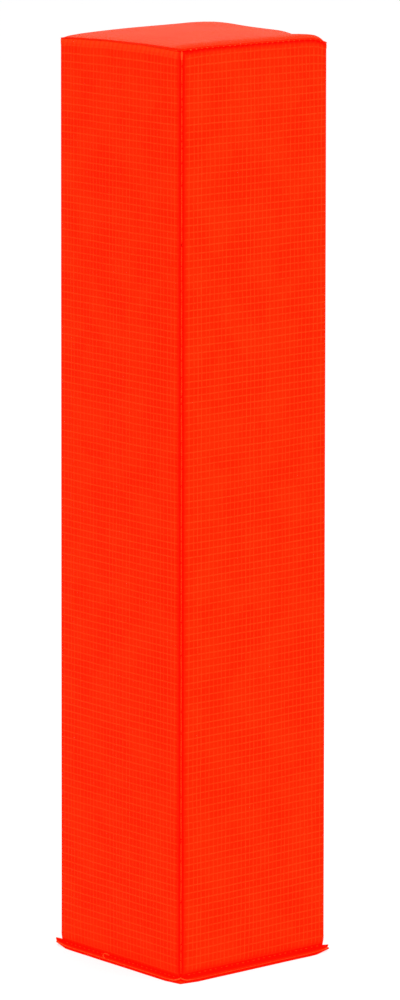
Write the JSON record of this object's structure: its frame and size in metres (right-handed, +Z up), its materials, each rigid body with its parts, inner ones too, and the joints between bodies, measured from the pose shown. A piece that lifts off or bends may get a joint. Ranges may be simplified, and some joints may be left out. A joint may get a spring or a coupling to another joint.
{
  "type": "football field pylon",
  "caption": "Free-standing soft corner marker: a tall square foam column in a sewn orange coated-fabric cover, with a weighted foot and a flat base.",
  "frame": {"origin": "on the ground, in the middle of the foot", "axes": "+Z up along the column, -Y out of the front panel, +X out of the right panel"},
  "size_m": [0.101, 0.101, 0.4572],
  "materials": {
    "cover_fabric": "coated scrim fabric, satin",
    "core_foam": "open-cell foam, matt",
    "bag_cloth": "unbleached cotton, matt",
    "sand": "dry sand, matt"
  },
  "bodies": {
    "root": {"front_panel": "cover_fabric", "right_panel": "cover_fabric", "back_panel": "cover_fabric", "left_panel": "cover_fabric", "top_panel": "cover_fabric", "base_panel": "cover_fabric", "foam_core": "core_foam", "ballast_bag_lower": "bag_cloth", "ballast_bag_upper": "bag_cloth", "ballast_sand": "sand"}
  },
  "joints": []
}
